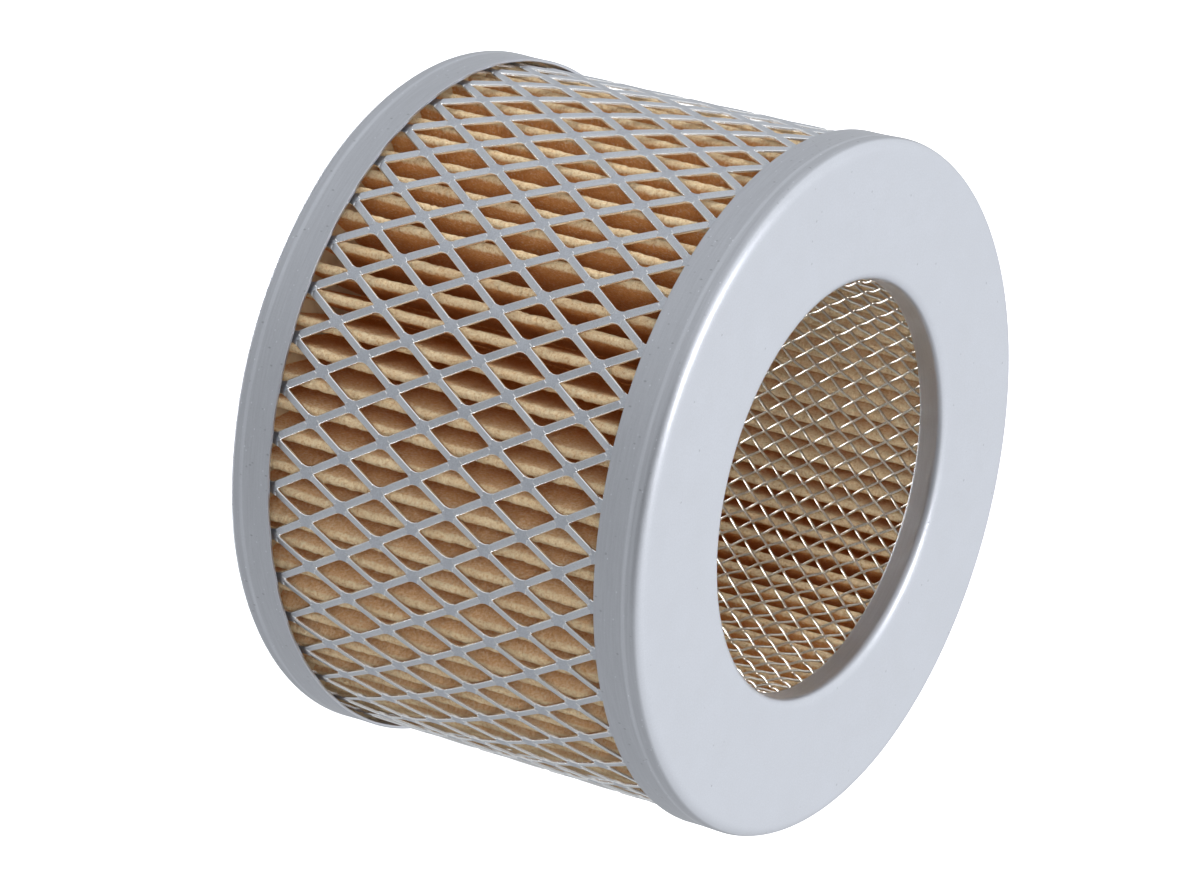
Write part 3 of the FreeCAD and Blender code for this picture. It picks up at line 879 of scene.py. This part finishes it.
def clip_finish():
    """Folded steel strip over the joint of the paper."""
    finish = Finish("clip_strip", metallic=1.0, roughness=0.35)
    lines = finish.noise(finish.stretched(6.0, 6.0, 0.3), detail=3, roughness=0.6)
    cloud = finish.noise(finish.place, scale=0.4, detail=3)
    tone = finish.between(lines, 0.3, 0.7, 0.88, 1.0)
    finish.colour(finish.blend(1.0, rgb(205, 208, 212), tone, "MULTIPLY"))
    finish.roughness(finish.between(cloud, 0.3, 0.7, 0.3, 0.44))
    finish.bump(lines, 0.01)
    return finish.material


def paper_finish():
    """Creped filter paper, with a painted highlight that makes the folds pale and painted shade that makes
    the paper browner between them.

    Deep in the pleats it glows a little by painted light, which stands in for the light that thin paper lets
    through from its other side.
    """
    finish = Finish("creped_paper", metallic=0.0, roughness=0.95)
    middle_radius = (PLEAT_TIP_RADIUS + PLEAT_ROOT_RADIUS) / 2
    reach = (PLEAT_TIP_RADIUS - PLEAT_ROOT_RADIUS) / 2
    outward = finish.vector("DOT_PRODUCT", finish.normal(), finish.direction(1.0))
    ends = (middle_radius - reach, middle_radius + reach)
    from_middle = finish.between(finish.axis_distance, *ends, -1.0, 1.0)
    # Painted highlight and shade: 0 on the folds, which face away from the pleats' middle, and 1 on the
    # flanks between them.
    flank = finish.between(finish.times(outward, from_middle), 0.52, -0.05)
    wet = finish.noise(finish.place, scale=0.25, detail=3, roughness=0.6)
    pulp = finish.noise(finish.place, scale=2.4, detail=5, roughness=0.8)
    along_folds = finish.stretched(2.4, 2.4, 0.9)
    fibres = finish.noise(along_folds, scale=2.2, detail=4, roughness=0.7, distortion=1.6)
    across_folds = finish.stretched(0.6, 0.6, 1.9)
    crepe = finish.noise(across_folds, scale=1.0, detail=4, roughness=0.65, distortion=0.9)
    # Pale cream on the folds is a painted highlight, and the browner colour of the flanks is painted shade.
    base = finish.blend(flank, rgb(247, 222, 180), rgb(230, 166, 106))
    base = finish.blend(finish.between(pulp, 0.5, 0.35, 0.0, 0.6), base, rgb(198, 136, 76))
    base = finish.blend(finish.between(pulp, 0.52, 0.66, 0.0, 0.6), base, rgb(255, 244, 218))
    base = finish.blend(finish.between(fibres, 0.6, 0.78, 0.0, 0.3), base, rgb(196, 146, 88))
    base = finish.blend(finish.between(wet, 0.4, 0.7, 0.0, 0.2), base, rgb(226, 170, 106))
    finish.colour(base)
    finish.shader.inputs["Specular IOR Level"].default_value = 0.15
    # Painted light: orange emission on the flanks, which stands in for light passing through the paper.
    finish.shader.inputs["Emission Color"].default_value = rgb(214, 112, 40)
    painted_glow = finish.times(flank, LIGHT_THROUGH_PAPER)
    finish.fill(finish.shader.inputs["Emission Strength"], painted_glow)
    finish.roughness(finish.between(pulp, 0.3, 0.7, 0.88, 1.0))
    finish.bump(crepe, 0.5)
    finish.bump(pulp, 0.45)
    finish.bump(fibres, 0.08)
    return finish.material


def adhesive_finish():
    """Cream potting adhesive with small bubbles."""
    finish = Finish("potting_adhesive", metallic=0.0, roughness=0.45)
    cloud = finish.noise(finish.place, scale=0.4, detail=4)
    bubbles = finish.specks(finish.place, 0.9, 0.22)
    finish.colour(finish.blend(finish.between(cloud, 0.35, 0.7), rgb(222, 206, 172), rgb(204, 184, 146)))
    finish.roughness(finish.between(cloud, 0.3, 0.7, 0.36, 0.55))
    finish.bump(bubbles, -0.2)
    finish.bump(cloud, 0.1)
    return finish.material


# ---------------------------------------------------------------- studio


def add_floor():
    """A plain pale floor that only the camera sees, so that light reaches the bore from below too."""
    mesh = bpy.data.meshes.new("floor")
    half = FLOOR_SIZE / 2
    corners = [(-half, -half, 0), (half, -half, 0), (half, half, 0), (-half, half, 0)]
    mesh.from_pydata(corners, [], [(0, 1, 2, 3)])
    finish = Finish("floor_paper", metallic=0.0, roughness=0.9)
    finish.colour((0.9, 0.9, 0.9, 1.0))
    finish.shader.inputs["Emission Color"].default_value = (1.0, 1.0, 1.0, 1.0)
    finish.shader.inputs["Emission Strength"].default_value = 0.75
    finish.bump(finish.noise(finish.place, scale=0.2, detail=2), 0.02)
    mesh.materials.append(finish.material)
    floor = bpy.data.objects.new("floor", mesh)
    floor.visible_glossy = False
    floor.visible_diffuse = False
    floor.visible_shadow = False
    bpy.context.scene.collection.objects.link(floor)


def add_world():
    """Soft light from all sides, brighter from above and the -X side, and darker where the camera stands."""
    world = bpy.data.worlds.new("studio")
    world.use_nodes = True
    tree = world.node_tree
    coordinates = tree.nodes.new("ShaderNodeTexCoord")

    def toward(direction, start, end, low, high):
        """A value that goes smoothly from low to high as a direction turns towards the given one."""
        along = tree.nodes.new("ShaderNodeVectorMath")
        along.operation = "DOT_PRODUCT"
        along.inputs[1].default_value = Vector(direction).normalized()
        tree.links.new(coordinates.outputs["Generated"], along.inputs[0])
        level = tree.nodes.new("ShaderNodeMapRange")
        level.interpolation_type = "SMOOTHSTEP"
        for name, value in (("From Min", start), ("From Max", end), ("To Min", low), ("To Max", high)):
            level.inputs[name].default_value = value
        tree.links.new(along.outputs["Value"], level.inputs["Value"])
        return level.outputs["Result"]

    bright = toward((-0.45, -0.1, 0.85), -0.8, 0.6, *WORLD_RANGE)
    pocket = toward((0.25, -0.9, 0.35), 0.6, 0.95, 1.0, WORLD_POCKET)
    strength = tree.nodes.new("ShaderNodeMath")
    strength.operation = "MULTIPLY"
    tree.links.new(bright, strength.inputs[0])
    tree.links.new(pocket, strength.inputs[1])
    background = tree.nodes["Background"]
    background.inputs["Color"].default_value = WORLD_COLOUR
    tree.links.new(strength.outputs[0], background.inputs["Strength"])
    bpy.context.scene.world = world


def add_softbox(name, position, size, power, glossy):
    """A square area light aimed at the cartridge."""
    light = bpy.data.lights.new(name, "AREA")
    light.shape = "SQUARE"
    light.size = size
    light.energy = power
    softbox = bpy.data.objects.new(name, light)
    softbox.location = position
    away = Vector(position) - Vector(CARTRIDGE_MIDDLE)
    softbox.rotation_mode = "QUATERNION"
    softbox.rotation_quaternion = away.to_track_quat("Z", "Y")
    softbox.visible_glossy = glossy
    bpy.context.scene.collection.objects.link(softbox)


def add_camera():
    """The camera looks down on the cartridge and is rolled, so that the axis lies across the picture."""
    forward = (CAMERA_AIM - CAMERA_POSITION).normalized()
    level_right = forward.cross(Vector((0, 0, 1))).normalized()
    level_up = level_right.cross(forward)
    right = level_right * math.cos(CAMERA_ROLL) + level_up * math.sin(CAMERA_ROLL)
    up = level_up * math.cos(CAMERA_ROLL) - level_right * math.sin(CAMERA_ROLL)
    data = bpy.data.cameras.new("camera")
    data.lens = CAMERA_LENS
    data.sensor_width = CAMERA_SENSOR_WIDTH
    camera = bpy.data.objects.new("camera", data)
    turn = Matrix((right, up, -forward)).transposed().to_4x4()
    camera.matrix_world = Matrix.Translation(CAMERA_POSITION) @ turn
    bpy.context.scene.collection.objects.link(camera)
    bpy.context.scene.camera = camera


# ---------------------------------------------------------------- scene

add_end_caps(cap_finish())
add_jacket(jacket_finish())
weld_metal = weld_finish()
add_jacket_welds(weld_metal)
add_cloth_welds(weld_metal)
add_paper(paper_finish())
add_wires(wire_finish())
add_potting(adhesive_finish())
# The clip shows its CAD mesh, which needs a finish only
clip = frame["nodes"]["media_seam_clip"]
clip.data.materials.clear()
clip.data.materials.append(clip_finish())

add_floor()
add_world()
for softbox in SOFTBOXES:
    add_softbox(*softbox)
add_camera()
bpy.context.scene.view_settings.view_transform = "Standard"
